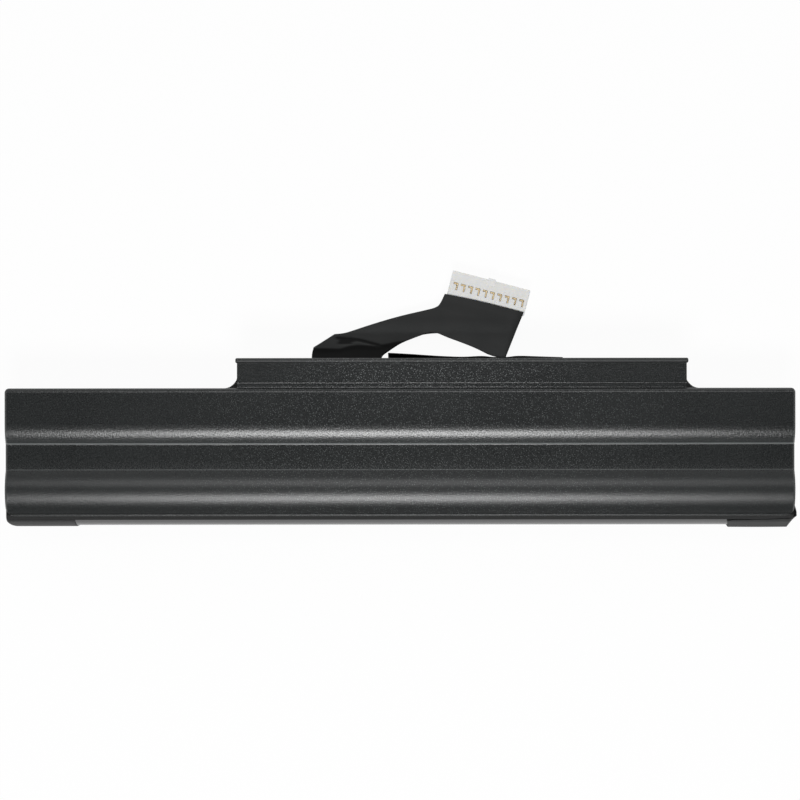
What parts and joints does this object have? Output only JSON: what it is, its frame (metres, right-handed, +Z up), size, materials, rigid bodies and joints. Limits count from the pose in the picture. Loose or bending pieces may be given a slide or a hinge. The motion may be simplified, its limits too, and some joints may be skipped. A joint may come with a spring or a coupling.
{
  "type": "laptop battery",
  "caption": "Slim internal laptop battery pack: textured ridged cover over cell rows, off-centre rear tab and a short flat taped lead with a white multi-way connector.",
  "frame": {"origin": "middle of the flat base, on its underside, between the two cell rows", "axes": "+X along the cell rows, +Y towards the tab that the lead leaves, +Z up from the base to the ridged cover"},
  "size_m": [0.2061, 0.068, 0.0189],
  "materials": {
    "cover_plastic": "spark-eroded texture",
    "tray_plastic": "smooth",
    "tape": "satin film",
    "cell_sleeve": "shrunk sleeve",
    "nickel": "satin",
    "paper": "matte",
    "foam": "matte",
    "board_laminate": "satin lacquer",
    "chip_resin": "matte",
    "chip_ceramic": "matte",
    "bead_resin": "gloss",
    "tinned_wire": "satin",
    "connector_nylon": "satin",
    "contact_brass": "satin"
  },
  "bodies": {
    "root": {"top_cover": "cover_plastic", "bottom_tray": "tray_plastic", "positive_rings": "paper", "negative_strip": "nickel", "positive_strip": "nickel", "tap_strip_1": "nickel", "tap_strip_2": "nickel", "column_paper_1": "paper", "column_paper_2": "paper", "end_paper_left": "paper", "end_paper_right": "paper", "end_pad_left": "foam", "end_pad_right": "foam", "circuit_board": "board_laminate", "gauge_chip": "chip_resin", "power_switches": "chip_resin", "sense_resistor": "chip_ceramic", "safety_fuse": "chip_ceramic", "chip_capacitors": "chip_ceramic", "thermistor": "bead_resin", "wire_tails": "tinned_wire", "lead_band": "tape", "lead_root": "tape", "lead_flag": "tape", "connector_housing": "connector_nylon", "connector_contacts": "contact_brass", "corner_tape_left": "tape", "corner_tape_right": "tape", "tab_tape": "tape", "cell_1": "cell_sleeve", "cell_2": "cell_sleeve", "cell_3": "cell_sleeve", "cell_4": "cell_sleeve", "cell_5": "cell_sleeve", "cell_6": "cell_sleeve"}
  },
  "joints": []
}
